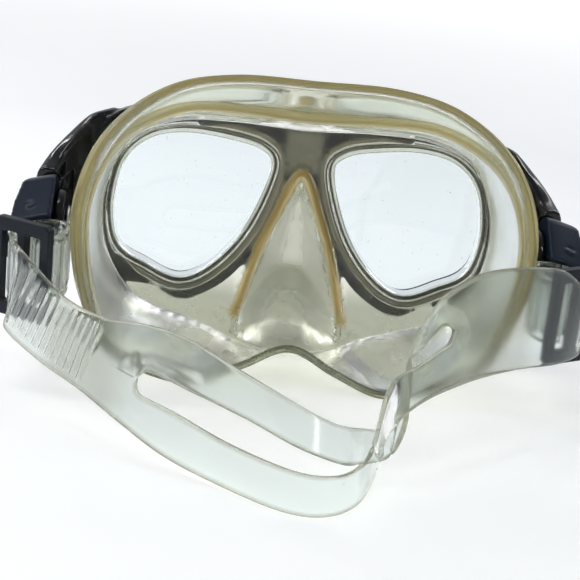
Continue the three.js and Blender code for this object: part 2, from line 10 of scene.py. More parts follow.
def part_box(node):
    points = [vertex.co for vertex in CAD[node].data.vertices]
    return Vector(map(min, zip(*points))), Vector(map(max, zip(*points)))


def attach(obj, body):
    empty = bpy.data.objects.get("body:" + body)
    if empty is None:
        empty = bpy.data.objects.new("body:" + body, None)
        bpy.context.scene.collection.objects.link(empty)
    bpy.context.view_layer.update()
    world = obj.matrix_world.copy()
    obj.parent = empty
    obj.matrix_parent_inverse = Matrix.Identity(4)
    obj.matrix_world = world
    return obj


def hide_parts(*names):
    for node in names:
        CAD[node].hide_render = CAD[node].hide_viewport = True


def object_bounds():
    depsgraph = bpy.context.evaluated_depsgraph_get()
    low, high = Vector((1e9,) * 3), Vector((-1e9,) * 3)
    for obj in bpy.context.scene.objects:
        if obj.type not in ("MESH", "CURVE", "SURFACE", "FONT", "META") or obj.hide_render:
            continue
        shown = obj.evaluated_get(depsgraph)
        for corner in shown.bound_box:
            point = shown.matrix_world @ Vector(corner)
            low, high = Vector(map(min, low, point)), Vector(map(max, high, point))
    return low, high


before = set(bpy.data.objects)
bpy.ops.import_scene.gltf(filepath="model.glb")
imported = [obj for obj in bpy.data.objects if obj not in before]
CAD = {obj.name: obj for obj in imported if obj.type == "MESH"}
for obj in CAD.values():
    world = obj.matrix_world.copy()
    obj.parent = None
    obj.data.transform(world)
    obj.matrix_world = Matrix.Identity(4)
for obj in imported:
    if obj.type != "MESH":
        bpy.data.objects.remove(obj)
cad_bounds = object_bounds()

MM = 0.001
FLOOR_Z = min(cad_bounds[0][2], cad_bounds[1][2]) / MM

# ---------- driving sizes, millimetres ----------
# edge of the glass that shows, right eye, as (x, z)
EYE = [(11.8, -2.5), (15.5, 4), (27, 6.8), (42, 7.9), (54.5, 5), (63, -3.6), (66.2, -18),
       (65.2, -30), (61.6, -36.4), (54, -40.4), (41, -45.2), (29, -38), (18.5, -23)]
RIM_OUT = [(3.6, -6), (5.5, 6), (13, 14.5), (28, 17.5), (45, 18), (60, 15.5), (72, 9), (78, -6),
           (78.5, -26), (74, -42), (62, -50), (51, -51.5), (41, -56), (31, -52.5), (20.5, -43.5),
           (10.8, -27)]
EYE_CENTRE = (40, -17)
COLLAR_WALL = 2.0
WEB_FRONT, WEB_BACK = -8.4, -11.0
SILICONE_WALL = 2.2


# ---------- curves ----------
def catmull(points, closed, steps, tension=0.5):
    """Points at an even parameter along a Catmull-Rom curve through the given points."""
    pts = np.asarray(points, float)
    n = len(pts)
    spans = n if closed else n - 1
    out = []
    count = steps if closed else steps - 1
    for i in range(steps):
        u = i / count * spans
        k = min(int(u), spans - 1)
        f = u - k
        if closed:
            p0, p1, p2, p3 = (pts[(k + j) % n] for j in (-1, 0, 1, 2))
        else:
            p1, p2 = pts[k], pts[k + 1]
            p0 = pts[k - 1] if k > 0 else 2 * p1 - p2
            p3 = pts[k + 2] if k + 2 < n else 2 * p2 - p1
        m1, m2 = tension * (p2 - p0), tension * (p3 - p1)
        out.append((2 * f**3 - 3 * f**2 + 1) * p1 + (f**3 - 2 * f**2 + f) * m1
                   + (-2 * f**3 + 3 * f**2) * p2 + (f**3 - f**2) * m2)
    return np.array(out)


def ring(loop):
    """A closed loop with its first point again at its end."""
    return np.vstack([loop, loop[:1]])


def even(points, closed, steps):
    """The same line with its points at even spacing."""
    pts = np.asarray(points, float)
    line = ring(pts) if closed else pts
    length = np.concatenate([[0], np.cumsum(np.linalg.norm(np.diff(line, axis=0), axis=1))])
    at = np.linspace(0, length[-1], steps + 1 if closed else steps)
    new = np.stack([np.interp(at, length, line[:, k]) for k in range(line.shape[1])], 1)
    return new[:steps]


def offset_loop(loop, distance):
    """Moves a closed flat loop outwards."""
    along = np.roll(loop, -1, 0) - np.roll(loop, 1, 0)
    along /= np.linalg.norm(along, axis=1)[:, None]
    area = np.sum(loop[:, 0] * np.roll(loop[:, 1], -1) - np.roll(loop[:, 0], -1) * loop[:, 1])
    side = 1 if area > 0 else -1
    return loop + side * distance * np.stack([along[:, 1], -along[:, 0]], 1)


def smoothstep(low, high, value):
    t = np.clip((np.asarray(value) - low) / (high - low), 0, 1)
    return t * t * (3 - 2 * t)


def round_off(distance, radius):
    """How high a quarter round has risen, of 1, at a distance from its edge."""
    return np.sqrt(np.clip(1 - (1 - np.clip(distance / radius, 0, 1)) ** 2, 0, 1))


# ---------- meshes ----------
def new_object(name, verts, faces, smooth=True):
    mesh = bpy.data.meshes.new(name)
    mesh.from_pydata([tuple(v) for v in np.asarray(verts, float) * MM], [], faces)
    mesh.validate()
    mesh.update()
    if smooth:
        smooth_shaded(mesh)
    return linked(name, mesh)


def skin(rows, closed_rows, closed_loops, start=0):
    """Quads between rows of equally many points, numbered row by row from start."""
    count, size = rows
    faces = []
    for i in range(count if closed_rows else count - 1):
        a, b = start + i * size, start + ((i + 1) % count) * size
        for j in range(size if closed_loops else size - 1):
            k = (j + 1) % size
            faces.append((a + j, b + j, b + k, a + k))
    return faces


def outward(obj, weld=0.0):
    """Welds points closer than a distance in metres and turns every face of a closed mesh outwards."""
    bm = bmesh.new()
    bm.from_mesh(obj.data)
    if weld:
        bmesh.ops.remove_doubles(bm, verts=bm.verts, dist=weld)
    bmesh.ops.recalc_face_normals(bm, faces=bm.faces)
    bm.to_mesh(obj.data)
    bm.free()
    return obj


def smooth_shaded(mesh):
    mesh.polygons.foreach_set("use_smooth", [True] * len(mesh.polygons))


def linked(name, data):
    obj = bpy.data.objects.new(name, data)
    bpy.context.scene.collection.objects.link(obj)
    return obj


def apply_modifiers(obj):
    graph = bpy.context.evaluated_depsgraph_get()
    graph.update()
    mesh = bpy.data.meshes.new_from_object(obj.evaluated_get(graph))
    obj.modifiers.clear()
    obj.data = mesh
    return obj


def moulded(obj, voxel, rounds):
    """Fuses closed shells into one body with small fillets, as a moulding has."""
    remesh = obj.modifiers.new("fuse", "REMESH")
    remesh.mode = "VOXEL"
    remesh.voxel_size = voxel * MM
    remesh.use_smooth_shade = True
    relax = obj.modifiers.new("relax", "SMOOTH")
    relax.factor = 0.5
    relax.iterations = rounds
    return apply_modifiers(obj)


def copy_of(node, name):
    obj = linked(name, CAD[node].data.copy())
    obj.data.materials.clear()
    return obj


def turned_over(obj):
    obj.data.transform(Matrix.Diagonal((-1, 1, 1, 1)))
    obj.data.flip_normals()
    return obj


def mirrored(obj, name):
    return turned_over(linked(name, obj.data.copy()))


def join(name, objects):
    bm = bmesh.new()
    for obj in objects:
        bm.from_mesh(obj.data)
    mesh = bpy.data.meshes.new(name)
    bm.to_mesh(mesh)
    bm.free()
    smooth_shaded(mesh)
    for obj in objects:
        bpy.data.objects.remove(obj)
    return linked(name, mesh)


def store(obj, attribute, values):
    layer = obj.data.attributes.new(attribute, "FLOAT", "POINT")
    layer.data.foreach_set("value", np.asarray(values, np.float32))


def finish_piece(obj, body, slot, *nodes):
    obj.data.materials.clear()
    obj.data.materials.append(MATERIALS[slot])
    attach(obj, body)
    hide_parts(*nodes)
    return obj


# ---------- materials ----------
MATERIALS = {}


def shader(name):
    material = MATERIALS[name] = bpy.data.materials.new(name)
    material.use_nodes = True
    return material.node_tree, material.node_tree.nodes["Principled BSDF"]


def add(tree, kind, **values):
    node = tree.nodes.new(kind)
    for key, value in values.items():
        if hasattr(node, key):
            setattr(node, key, value)
        else:
            node.inputs[key.replace("_", " ")].default_value = value
    return node


def noise_of(tree, scale, detail=3.0, rough=0.5):
    place = add(tree, "ShaderNodeTexCoord")
    cloud = add(tree, "ShaderNodeTexNoise", Scale=scale, Detail=detail, Roughness=rough)
    tree.links.new(place.outputs["Object"], cloud.inputs["Vector"])
    return cloud.outputs["Fac"]


def spread(tree, value, low, high, out_low, out_high):
    """Stretches a value from one range to another."""
    node = add(tree, "ShaderNodeMapRange")
    for socket, number in zip(("From Min", "From Max", "To Min", "To Max"), (low, high, out_low, out_high)):
        node.inputs[socket].default_value = number
    tree.links.new(value, node.inputs["Value"])
    return node.outputs["Result"]


def mixed(tree, factor, first, second):
    node = tree.nodes.new("ShaderNodeMix")
    node.data_type = "RGBA"
    for socket, value in ((node.inputs["Factor"], factor), (node.inputs[6], first), (node.inputs[7], second)):
        if isinstance(value, (tuple, float, int)):
            socket.default_value = value
        else:
            tree.links.new(value, socket)
    return node.outputs[2]


def combined(tree, operation, first, second):
    node = tree.nodes.new("ShaderNodeMath")
    node.operation = operation
    for socket, value in zip(node.inputs, (first, second)):
        if isinstance(value, float):
            socket.default_value = value
        else:
            tree.links.new(value, socket)
    return node.outputs[0]


def bumps(tree, target, layers):
    """Chains bump layers of (height socket, strength, distance in millimetres) into a shader's normal."""
    last = None
    for height, strength, distance in layers:
        bump = add(tree, "ShaderNodeBump", Strength=strength, Distance=distance * MM)
        tree.links.new(height, bump.inputs["Height"])
        if last is not None:
            tree.links.new(last, bump.inputs["Normal"])
        last = bump.outputs["Normal"]
    tree.links.new(last, target.inputs["Normal"])


def lets_lamps_through(tree, surface, colour):
    """Lamps reach what lies behind the clear piece."""
    path = add(tree, "ShaderNodeLightPath")
    clear = add(tree, "ShaderNodeBsdfTransparent", Color=colour)
    mix = add(tree, "ShaderNodeMixShader")
    tree.links.new(path.outputs["Is Shadow Ray"], mix.inputs[0])
    tree.links.new(surface.outputs[0], mix.inputs[1])
    tree.links.new(clear.outputs[0], mix.inputs[2])
    tree.links.new(mix.outputs[0], tree.nodes["Material Output"].inputs["Surface"])


DULL = (0.43, 0.44, 0.335, 1)
AMBER = (0.5, 0.375, 0.14, 1)
RIB_TINT = (0.86, 0.88, 0.85, 1)
SPECK = (0.16, 0.14, 0.1, 1)
HAZE = 0.42              # how milky the matte places are
MATTE_ROUGHNESS = 0.42


def silicone(name, clear, aged, thick_share, roughness, patches, shade):
    """Clear silicone. Its mesh says where it is 'aged' (thick and yellow), 'rib' (a pale raised bar), 'matte'
    (hazy), 'dull' (grey-green) and 'amber' (the nose ridges)."""
    tree, skin_shader = shader(name)
    thick, rib, matte, dull, amber = (add(tree, "ShaderNodeAttribute", attribute_name=word).outputs["Fac"]
                                      for word in ("aged", "rib", "matte", "dull", "amber"))
    blotch = spread(tree, noise_of(tree, 28, 4), 0.35, 0.7, 0.0, patches)
    specks = spread(tree, noise_of(tree, 420, 2, 0.8), 0.74, 0.78, 0.0, 0.7)
    tint = mixed(tree, blotch, mixed(tree, thick, clear, aged), aged)
    tint = mixed(tree, rib, tint, RIB_TINT)
    tint = mixed(tree, amber, mixed(tree, dull, tint, DULL), AMBER)
    tree.links.new(mixed(tree, specks, tint, SPECK), skin_shader.inputs["Base Color"])
    solid = combined(tree, "MAXIMUM", combined(tree, "MAXIMUM", thick, combined(tree, "MAXIMUM", rib, amber)),
                     combined(tree, "MULTIPLY", matte, HAZE))
    tree.links.new(spread(tree, solid, 0.08, 1, 1.0, thick_share), skin_shader.inputs["Transmission Weight"])
    polish = spread(tree, noise_of(tree, 90, 5), 0.3, 0.75, roughness * 0.5, roughness * 1.7)
    tree.links.new(combined(tree, "ADD", polish, combined(tree, "MULTIPLY", matte, MATTE_ROUGHNESS)),
                   skin_shader.inputs["Roughness"])
    skin_shader.inputs["IOR"].default_value = 1.41
    skin_shader.inputs["Specular IOR Level"].default_value = 0.4
    bumps(tree, skin_shader, [(noise_of(tree, 50, 2), 0.3, 0.6), (noise_of(tree, 210, 3), 0.1, 0.12)])
    lets_lamps_through(tree, skin_shader, shade)


def lens_glass():
    tree, glass = shader("lens_glass")
    specks = spread(tree, noise_of(tree, 900, 1, 0.9), 0.74, 0.78, 0.0, 1.0)
    film = spread(tree, noise_of(tree, 35, 3), 0.4, 0.7, 0.0, 0.12)
    tint = mixed(tree, film, (0.905, 0.965, 0.975, 1), (0.86, 0.93, 0.955, 1))
    tree.links.new(mixed(tree, specks, tint, (0.5, 0.5, 0.48, 1)), glass.inputs["Base Color"])
    glass.inputs["Transmission Weight"].default_value = 1.0
    tree.links.new(spread(tree, specks, 0, 1, 0.01, 0.4), glass.inputs["Roughness"])
    glass.inputs["IOR"].default_value = 1.5
    lets_lamps_through(tree, glass, (0.93, 0.95, 0.96, 1))


def plastic(name, colour, faded, roughness, grain, mirror):
    tree, body = shader(name)
    body.inputs["Specular IOR Level"].default_value = mirror
    wear = spread(tree, noise_of(tree, 60, 6, 0.6), 0.5, 0.75, 0.0, 1.0)
    dust = spread(tree, noise_of(tree, 1300, 2, 0.7), 0.72, 0.76, 0.0, 0.7)
    worn = mixed(tree, wear, colour, faded)
    tree.links.new(mixed(tree, dust, worn, (0.35, 0.34, 0.3, 1)), body.inputs["Base Color"])
    tree.links.new(spread(tree, wear, 0, 1, roughness, roughness + 0.16), body.inputs["Roughness"])
    bumps(tree, body, [(noise_of(tree, 120, 3), 0.12, 0.25), (noise_of(tree, 2500, 2), grain, 0.03)])


def steel():
    tree, body = shader("steel")
    body.inputs["Metallic"].default_value = 1.0
    fine = noise_of(tree, 600, 4)
    tree.links.new(mixed(tree, fine, (0.55, 0.55, 0.56, 1), (0.7, 0.7, 0.71, 1)), body.inputs["Base Color"])
    tree.links.new(spread(tree, fine, 0.2, 0.8, 0.22, 0.4), body.inputs["Roughness"])
    bumps(tree, body, [(fine, 0.15, 0.03)])


silicone("skirt_silicone", (0.86, 0.875, 0.785, 1), (0.52, 0.455, 0.215, 1), 0.5, 0.09, 0.16, (0.88, 0.89, 0.84, 1))
silicone("strap_silicone", (0.828, 0.884, 0.87, 1), (0.44, 0.42, 0.3, 1), 0.62, 0.1, 0.05, (0.95, 0.96, 0.95, 1))
lens_glass()
plastic("frame_black", (0.006, 0.006, 0.007, 1), (0.016, 0.013, 0.01, 1), 0.12, 0.04, 0.34)
plastic("buckle_navy", (0.008, 0.014, 0.028, 1), (0.014, 0.022, 0.038, 1), 0.3, 0.12, 0.18)
plastic("slide_black", (0.014, 0.017, 0.024, 1), (0.026, 0.03, 0.038, 1), 0.4, 0.2, 0.16)
plastic("roller_nylon", (0.68, 0.66, 0.6, 1), (0.6, 0.57, 0.48, 1), 0.38, 0.1, 0.4)
steel()


# ---------- skirt ----------
# half rows from the top middle to the bottom middle: wall at the frame (x, z), outer edge of the
# face seal (x, y, z), length of the sealing lip and how far it turns forward, in degrees
SKIRT_ROWS = [
    ((0, 15.4), (0, -41, 36.6), 16.5, 8), ((24, 16.4), (26, -42, 36.6), 16, 10),
    ((46, 15), (46, -48, 33), 14, 18), ((62, 8), (62, -57, 23), 11.5, 30),
    ((70, -5), (71.5, -62.5, 9), 9.5, 42), ((73, -20), (75.8, -65, -9), 8.5, 48),
    ((71, -36), (75.2, -62.5, -28), 8.2, 46), ((64, -49), (72.5, -57.5, -44), 7.4, 38),
    ((54, -57.5), (67, -51.5, -59), 5.5, 26), ((40, -62.5), (53, -45, -70.5), 3.2, 15),
    ((27, -67), (34, -40, -76), 2.2, 8), ((14, -72), (16, -38.5, -69.5), 2, 5),
    ((0, -74), (0, -38, -62), 2, 5),
]
SKIRT_STATIONS = 240
BEAD_R = 2.1          # outer sealing lip
INNER_LIP = 4.6       # width of the thick inner lip
THIN_EDGE = 0.5       # half the thickness of the plain edge at the bottom
FLANGE = 1.1          # thin part between the two lips
WEB_FILLET = 3.4      # how far the web's flat part stays inside the wall
INNER_CORNER, OUTER_CORNER = 1.6, 0.9     # radii where the wall meets the web
EYE_POINTS = 132
COLLAR_FILLET = 3.1   # how far the web's edge stays outside the glass
SECOND_BEAD = 2.6     # room taken by a second bead round the eye, at its nose side and below it
WEB_GRID = 1.5

# nose pocket: half width where it leaves the web, and how far forward it stands, by height
POCKET_HALF = [(-9, 0.6), (-13, 2.8), (-17.1, 5.2), (-28.7, 9.8), (-43.5, 14.4), (-59, 18.2),
               (-68, 18.8), (-74, 17)]
POCKET_DEEP = [(-8, 0.0), (-14, 5), (-24, 10), (-36, 14.5), (-44, 17), (-50, 21), (-56, 25.5),
               (-63, 27.5), (-68, 26.5), (-71.5, 20), (-73.6, 6), (-74, 0)]
RIDGE = [(0, -3.4), (1.7, -4.4), (4.3, -9.8), (7.4, -17.8), (12.1, -30), (16.1, -44), (19.7, -59.4)]
RIDGE_HALF, RIDGE_HIGH = 2.1, 2.3
RIDGE_LINES = (-1.6, -1.1, -0.5, 0, 0.5, 1.1, 1.6)    # where lines of points follow each ridge
WRINKLE = 0.5         # depth of the folds under the nose
BRIDGE_AGE = 0.34     # how yellow the web is over the bridge
BULB = (1.6, -57.5, 13, 14)          # tip of the nose: extra depth, middle height, half width, half height
HAZE_TOP, HAZE_FALL = -43.5, 12.5    # upper edge of the dull lower part at the middle, and its fall at the sides


def skirt_curves():
    other_half = [((-f[0], f[1]), (-r[0], r[1], r[2]), flap, turn) for f, r, flap, turn in SKIRT_ROWS[-2:0:-1]]
    rows = [[*f, *r, flap, turn] for f, r, flap, turn in SKIRT_ROWS + other_half]
    return catmull(rows, True, SKIRT_STATIONS)


def unit(v):
    return v / np.linalg.norm(v)


def skirt_section(row, tangent):
    """Points and ageing from the back of the web out along the wall, round the lips and back to its front."""
    front = np.array([row[0], WEB_FRONT, row[1]])
    rim = row[2:5]
    flap, turn = row[5], math.radians(row[6])
    flat = unit(np.array([0, rim[1], -20]) - rim)
    normal = unit(np.cross(rim - front, tangent))
    if normal @ flat < 0:
        normal = -normal
    side = unit(normal * np.array([1, 0, 1]))
    along = side * math.cos(turn) + np.array([0, math.sin(turn), 0])
    under = np.array([0, math.cos(turn), 0]) - side * math.sin(turn)
    full = smoothstep(2.2, 7.5, flap)
    bead = THIN_EDGE + (BEAD_R - THIN_EDGE) * full
    lip = min(INNER_LIP, flap * 0.5)
    points, aged = [], []

    def put(point, age):
        points.append(point)
        aged.append(age)

    def at(u, w):
        return rim + along * u + under * w

    inner = SILICONE_WALL + 0.2
    # from the web, round the inner corner and out along the inside of the wall
    for share in (0.0, 0.35, 0.7, 1.0):
        a = share * math.pi / 2
        inset = inner + (WEB_FILLET - inner) * (1 - math.sin(a))
        put(front + side * inset + np.array([0, WEB_BACK - WEB_FRONT - INNER_CORNER * (1 - math.cos(a)), 0]), 0.1)
    inner_end = at(bead * 2 + 1.2, bead + 1.6)
    start = front + side * inner + np.array([0, WEB_BACK - WEB_FRONT - INNER_CORNER, 0])
    for share in np.linspace(0.1, 1.0, 10):
        sag = math.sin(share * math.pi) * 0.8
        put(start * (1 - share) + inner_end * share - side * sag, 0.12 * full)
    # forward face of the thin flange, then the thick inner lip
    thin_end = flap - lip
    flange_u = np.linspace(bead * 2 + 1.6, max(thin_end, bead * 2 + 1.7), 4)
    for u in flange_u:
        put(at(u, bead * 0.25 + FLANGE), 0.05)
    lip_half = 0.5 * (FLANGE + 1.5 * full)
    mid = bead * 0.25 + 0.35 + lip_half * 0.4
    for share in np.linspace(0, 1, 9):
        a = math.pi / 2 - share * math.pi
        swell = math.cos(a) ** 0.8 if math.cos(a) > 0 else 0.0
        put(at(thin_end + lip * (0.25 + 0.75 * swell), mid + lip_half * math.sin(a)), full)
    for u in flange_u[::-1]:
        put(at(u, bead * 0.25), 0.05)
    # round bead of the outer lip
    centre = at(bead, bead)
    for share in np.linspace(0, 1, 10):
        a = math.radians(-35 + share * 205)
        put(centre + bead * (along * math.sin(a) - under * math.cos(a)), full)
    # outside of the wall back to the front corner
    outer_start = centre - along * bead
    corner = front - np.array([0, OUTER_CORNER, 0])
    for share in np.linspace(0.12, 1, 10):
        put(outer_start * (1 - share) + corner * share, 0.12 * full)
    for share in (0.4, 0.75, 1.0):
        a = share * math.pi / 2
        put(front + OUTER_CORNER * (side * (1 - math.cos(a)) - np.array([0, 1 - math.sin(a), 0])), 0.1)
    put(front + side * WEB_FILLET, 0.1)
    return points, aged


def inside(points, loop):
    """Which points lie inside a closed flat loop."""
    x, z = points[:, 0], points[:, 1]
    result = np.zeros(len(points), bool)
    for (x1, z1), (x2, z2) in zip(loop, np.roll(loop, -1, 0)):
        if z1 != z2:
            result ^= ((z1 > z) != (z2 > z)) & (x < (x2 - x1) * (z - z1) / (z2 - z1) + x1)
    return result


def distance_to(points, line):
    """Distance of each flat point from an open line of points."""
    best = np.full(len(points), 1e9)
    for p, q in zip(line[:-1], line[1:]):
        d = q - p
        t = np.clip(((points - p) @ d) / (d @ d), 0, 1)
        best = np.minimum(best, np.linalg.norm(points - p - t[:, None] * d, axis=1))
    return best


def on_web(points, boundary, holes, gap=0.0):
    """Which flat points lie inside the web, and at least a gap from its holes."""
    ok = inside(points, boundary)
    for loop in holes:
        ok &= ~inside(points, loop)
        if gap:
            ok &= distance_to(points, ring(loop)) > gap
    return ok


def table(rows, z):
    pairs = sorted(rows)
    return np.interp(z, [p[0] for p in pairs], [p[1] for p in pairs])


def ridge_line():
    """Both nose ridges as one flat line over the bridge."""
    return catmull([(-x, z) for x, z in RIDGE[:0:-1]] + RIDGE, False, 90)


def web_heights(flat):
    """Back face of the web: level, pushed forward by the nose pocket and raised along the nose ridges."""
    x, z = flat[:, 0], flat[:, 1]
    half = np.maximum(table(POCKET_HALF, z), 0.3)
    deep = table(POCKET_DEEP, z)
    share = np.clip(1 - (np.abs(x) / half) ** 2, 0, 1)
    pocket = deep * share ** 0.9
    bulb = np.hypot(x / BULB[2], (z - BULB[1]) / BULB[3])
    pocket += BULB[0] * (1 - smoothstep(0.82, 1.08, bulb)) * smoothstep(-72, -62, z)
    near = distance_to(flat, ridge_line())
    bump = np.sqrt(np.clip(1 - (near / RIDGE_HALF) ** 2, 0, 1))
    fade = smoothstep(-60.5, -52, z)
    wrinkle = np.sin(0.9 * x + 0.5 * z) * np.sin(0.35 * x - 0.8 * z) + 0.6 * np.sin(1.3 * x - 0.6 * z + 1)
    wrinkle *= WRINKLE * (1 - smoothstep(-61, -50, z)) * (near > RIDGE_HALF)
    level = WEB_BACK + pocket * (1 - bump * (near < RIDGE_HALF)) - RIDGE_HIGH * bump * fade + wrinkle
    colour = (1 - smoothstep(RIDGE_HALF - 0.35, RIDGE_HALF + 0.1, near)) * smoothstep(-61.5, -58, z)
    return level, RIDGE_HIGH * bump * fade, colour


def skirt():
    rows = skirt_curves()
    sections, ages = [], []
    for i, row in enumerate(rows):
        tangent = rows[(i + 1) % len(rows)][2:5] - rows[i - 1][2:5]
        points, aged = skirt_section(row, tangent)
        sections.append(points)
        ages.append(aged)
    sections, ages = np.array(sections), np.array(ages)
    n, m = sections.shape[:2]
    verts = [tuple(p) for p in sections.reshape(-1, 3)]
    age = list(ages.reshape(-1))
    faces = skin((n, m), True, False)
    back_edge = [i * m for i in range(n)]
    front_edge = [i * m + m - 1 for i in range(n)]
    boundary = sections[:, 0][:, [0, 2]]

    eye = even(catmull(EYE, True, 400), True, EYE_POINTS)
    holes, hole_back, hole_front = [], [], []
    for loop in (eye, (eye * [-1, 1])[::-1]):
        x, z = np.abs(loop[:, 0]), loop[:, 1]
        room = np.maximum(smoothstep(38, 27, x), smoothstep(-33, -40, z) * smoothstep(61, 53, x))
        edge = COLLAR_FILLET + SECOND_BEAD * room
        profile = [(edge, WEB_BACK, 0.25), (edge - 0.5 * room, WEB_BACK - 0.6 * room, 0.5),
                   (edge - 1.2 * room, WEB_BACK - 0.85 * room, 0.6), (edge - 1.9 * room, WEB_BACK - 0.5 * room, 0.5),
                   (edge - 2.3 * room, WEB_BACK + 0.15 * room, 0.3), (2.9, WEB_BACK - 0.2, 0.25),
                   (2.6, WEB_BACK - 0.9, 0.25), (2.0, WEB_BACK - 1.5, 0.15), (1.3, WEB_BACK - 1.6, 0.1),
                   (0.6, WEB_BACK - 1.3, 0.1), (0.15, WEB_BACK - 0.6, 0.1), (0.0, WEB_BACK + 0.2, 0.1),
                   (0.0, -9, 0.1), (0.0, -7, 0.1), (0.15, -5.8, 0.1), (0.5, -5.6, 0.1),
                   (COLLAR_WALL - 0.3, -5.6, 0.1), (COLLAR_WALL, -5.9, 0.1), (COLLAR_WALL, -7.6, 0.1),
                   (COLLAR_WALL + 0.4, WEB_FRONT, 0.1), (edge, WEB_FRONT, 0.1)]
        start = len(verts)
        for out, level, value in profile:
            around = offset_loop(loop, np.reshape(out, (-1, 1)))
            for (x, z), y in zip(around, np.broadcast_to(level, len(loop))):
                verts.append((x, y, z))
                age.append(value)
        faces += skin((len(profile), EYE_POINTS), False, True, start)
        holes.append(offset_loop(loop, edge[:, None]))
        hole_back += range(start, start + EYE_POINTS)
        hole_front += range(len(verts) - EYE_POINTS, len(verts))

    # inside points of the web on a staggered grid, clear of its edges
    xs = np.arange(-76, 76, WEB_GRID)
    grid = np.array([(x + (k % 2) * WEB_GRID / 2, z) for k, z in enumerate(np.arange(-76, 18, WEB_GRID * 0.87))
                     for x in xs])
    keep = on_web(grid, boundary, holes, WEB_GRID * 0.6) & (distance_to(grid, ring(boundary)) > WEB_GRID * 0.6)
    ridge = even(ridge_line(), False, 110)
    side = np.gradient(ridge, axis=0)
    side = np.stack([side[:, 1], -side[:, 0]], 1) / np.linalg.norm(side, axis=1)[:, None]
    keep &= distance_to(grid, ridge) > 2.2
    extra = np.vstack([ridge + side * d for d in RIDGE_LINES])
    grid = np.vstack([grid[keep], extra[on_web(extra, boundary, holes, 0.5)]])
    flat = np.vstack([boundary, *holes, grid])
    edges, start = [], 0
    for loop in [boundary, *holes]:
        edges += [(start + i, start + (i + 1) % len(loop)) for i in range(len(loop))]
        start += len(loop)
    result = geometry.delaunay_2d_cdt([Vector(p) for p in flat], edges, [], 0, 1e-4)
    coords = np.array([tuple(v) for v in result[0]])
    origin = [ids[0] if ids else None for ids in result[3]]
    triangles = result[2]
    middles = np.array([coords[list(f)].mean(0) for f in triangles])
    triangles = [f for f, yes in zip(triangles, on_web(middles, boundary, holes)) if yes]
    level, raised, ridge_colour = web_heights(coords)
    bridge = (1 - smoothstep(4.5, 8.5, np.abs(coords[:, 0]))) * smoothstep(-6, -2, coords[:, 1])
    amber = [0.0] * len(verts)

    # back sheet, then the front sheet a wall's thickness in front of it
    edge_back, edge_front = back_edge + hole_back, front_edge + hole_front
    index_back, index_front = [], []
    normals = np.zeros((len(coords), 3))
    solid = np.stack([coords[:, 0], level, coords[:, 1]], 1)
    for f in triangles:
        a, b, c = (solid[k] for k in f)
        cross = np.cross(b - a, c - a)
        cross *= 1 if cross[1] > 0 else -1
        for k in f:
            normals[k] += cross
    normals /= np.maximum(np.linalg.norm(normals, axis=1), 1e-9)[:, None]
    thick = WEB_FRONT - WEB_BACK
    for i, source in enumerate(origin):
        if source is not None and source < len(edge_back):
            index_back.append(edge_back[source])
            index_front.append(edge_front[source])
            continue
        on_ridge = ridge_colour[i] > 0.05 or raised[i] > 0.1
        ahead = np.array([0, thick + raised[i], 0]) if on_ridge else normals[i] * thick
        index_back.append(len(verts))
        index_front.append(len(verts) + 1)
        verts += [tuple(solid[i]), tuple(solid[i] + ahead)]
        age += [max(0.06, BRIDGE_AGE * bridge[i])] * 2
        amber += [ridge_colour[i]] * 2
    faces += [tuple(index_back[k] for k in f) for f in triangles]
    faces += [tuple(index_front[k] for k in f[::-1]) for f in triangles]
    obj = new_object("skirt_moulding", verts, faces)
    store(obj, "aged", age)
    place = np.array(verts)
    across = np.abs(place[:, 0])
    haze_edge = HAZE_TOP - HAZE_FALL * np.clip(across / 15, 0, 1) ** 2 + 9 * smoothstep(16, 22, across)
    soft = 1.2 + 5 * smoothstep(15, 21, across)
    low = 1 - smoothstep(-soft, soft, place[:, 2] - haze_edge)
    at_wall = smoothstep(48, 68, across) * smoothstep(-9, -14, place[:, 1])
    at_wall *= smoothstep(-62, -50, place[:, 1])
    store(obj, "dull", np.clip(np.maximum(low * 0.9, at_wall * 0.7), 0, 1))
    store(obj, "amber", amber)
    pocket = smoothstep(WEB_BACK + 1.5, WEB_BACK + 6, place[:, 1]) * (across < 22)
    matte = np.maximum(np.maximum(low * 0.35, pocket), at_wall * 0.55)
    store(obj, "matte", np.clip(matte + 0.05, 0, 1))
    return outward(obj)


# ---------- strap ----------
LADDER_END = [
    (88.8, -60, -19.5, -42), (83, -62.6, -19, -41.5), (79.4, -60, -18, -40.5), (78.4, -54.5, -17.2, -39.6),
    (80.5, -49, -17.4, -39.8), (85.3, -46.4, -18, -40.6), (88.6, -44, -18.6, -41.2),
    (89.8, -41.3, -18.7, -41.4), (92.5, -40.2, -18.8, -41.6), (95.2, -41.3, -18.9, -41.8),
    (96.4, -44, -19, -42), (96.4, -50, -19.4, -42.4), (96.4, -55, -19.8, -42.6), (96.2, -59, -20, -42.6),
    (95.5, -62.3, -20.6, -43.2),
]
